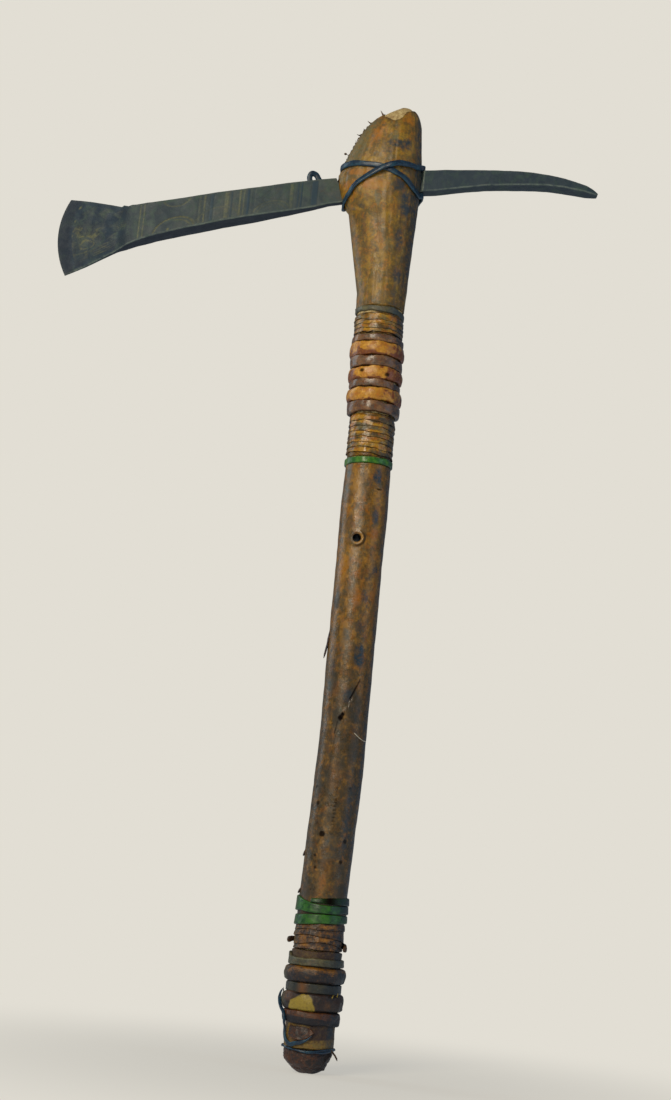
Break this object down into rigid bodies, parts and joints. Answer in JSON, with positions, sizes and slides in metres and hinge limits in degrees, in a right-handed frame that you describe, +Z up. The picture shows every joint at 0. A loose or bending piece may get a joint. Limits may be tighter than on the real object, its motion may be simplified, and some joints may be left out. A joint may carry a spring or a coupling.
{
  "type": "hafted adze",
  "caption": "Slim hide-bound wooden haft with a one-piece iron head through its swollen end: a flared blade one way, a curved pick the other.",
  "frame": {"origin": "centre of the butt's flat end", "axes": "+Z up the haft to the head, +X towards the pick, -X towards the blade, +Y out of the back face"},
  "size_m": [0.342, 0.0492, 0.6072],
  "materials": {
    "iron": "blued dark iron, worn bright along its arrises",
    "bare_wood": "dry bare hardwood",
    "tan_hide": "orange-tan rawhide, mottled and polished by handling",
    "tan_strip": "narrow tan rawhide strip",
    "dark_hide": "glossy dark red-brown hide",
    "pale_hide": "pale cream rawhide, stained at its edges",
    "blue_black_hide": "blue-black hide thong",
    "grey_hide": "blue-grey hide, dry",
    "green_hide": "green-dyed hide, glossy",
    "sinew": "dry brown sinew thread"
  },
  "bodies": {
    "root": {"haft_core": "bare_wood", "slot_plug": "bare_wood", "iron_head": "iron", "head_hide": "tan_hide", "head_stitches": "sinew", "lashing_turn_a": "blue_black_hide", "lashing_turn_b": "blue_black_hide", "lashing_end": "blue_black_hide", "neck_band": "grey_hide", "upper_wrap": "tan_strip", "upper_collar": "dark_hide", "pale_ring_1": "pale_hide", "dark_band_1": "dark_hide", "pale_ring_2": "pale_hide", "dark_band_2": "dark_hide", "pale_ring_3": "pale_hide", "dark_band_3": "dark_hide", "middle_wrap": "tan_strip", "green_band": "green_hide", "grip_hide": "tan_hide", "grip_stitches": "sinew", "green_wrap": "green_hide", "lower_wrap": "dark_hide", "wrap_end_blade_side": "dark_hide", "wrap_end_pick_side": "grey_hide", "butt_underlay": "pale_hide", "grey_band": "grey_hide", "padded_ring": "dark_hide", "thin_band": "grey_hide", "pale_ring_4": "pale_hide", "brown_band": "dark_hide", "loose_flap": "dark_hide", "butt_thong": "blue_black_hide", "butt_cord": "blue_black_hide", "butt_cord_end": "dark_hide", "butt_cap": "dark_hide"}
  },
  "joints": []
}
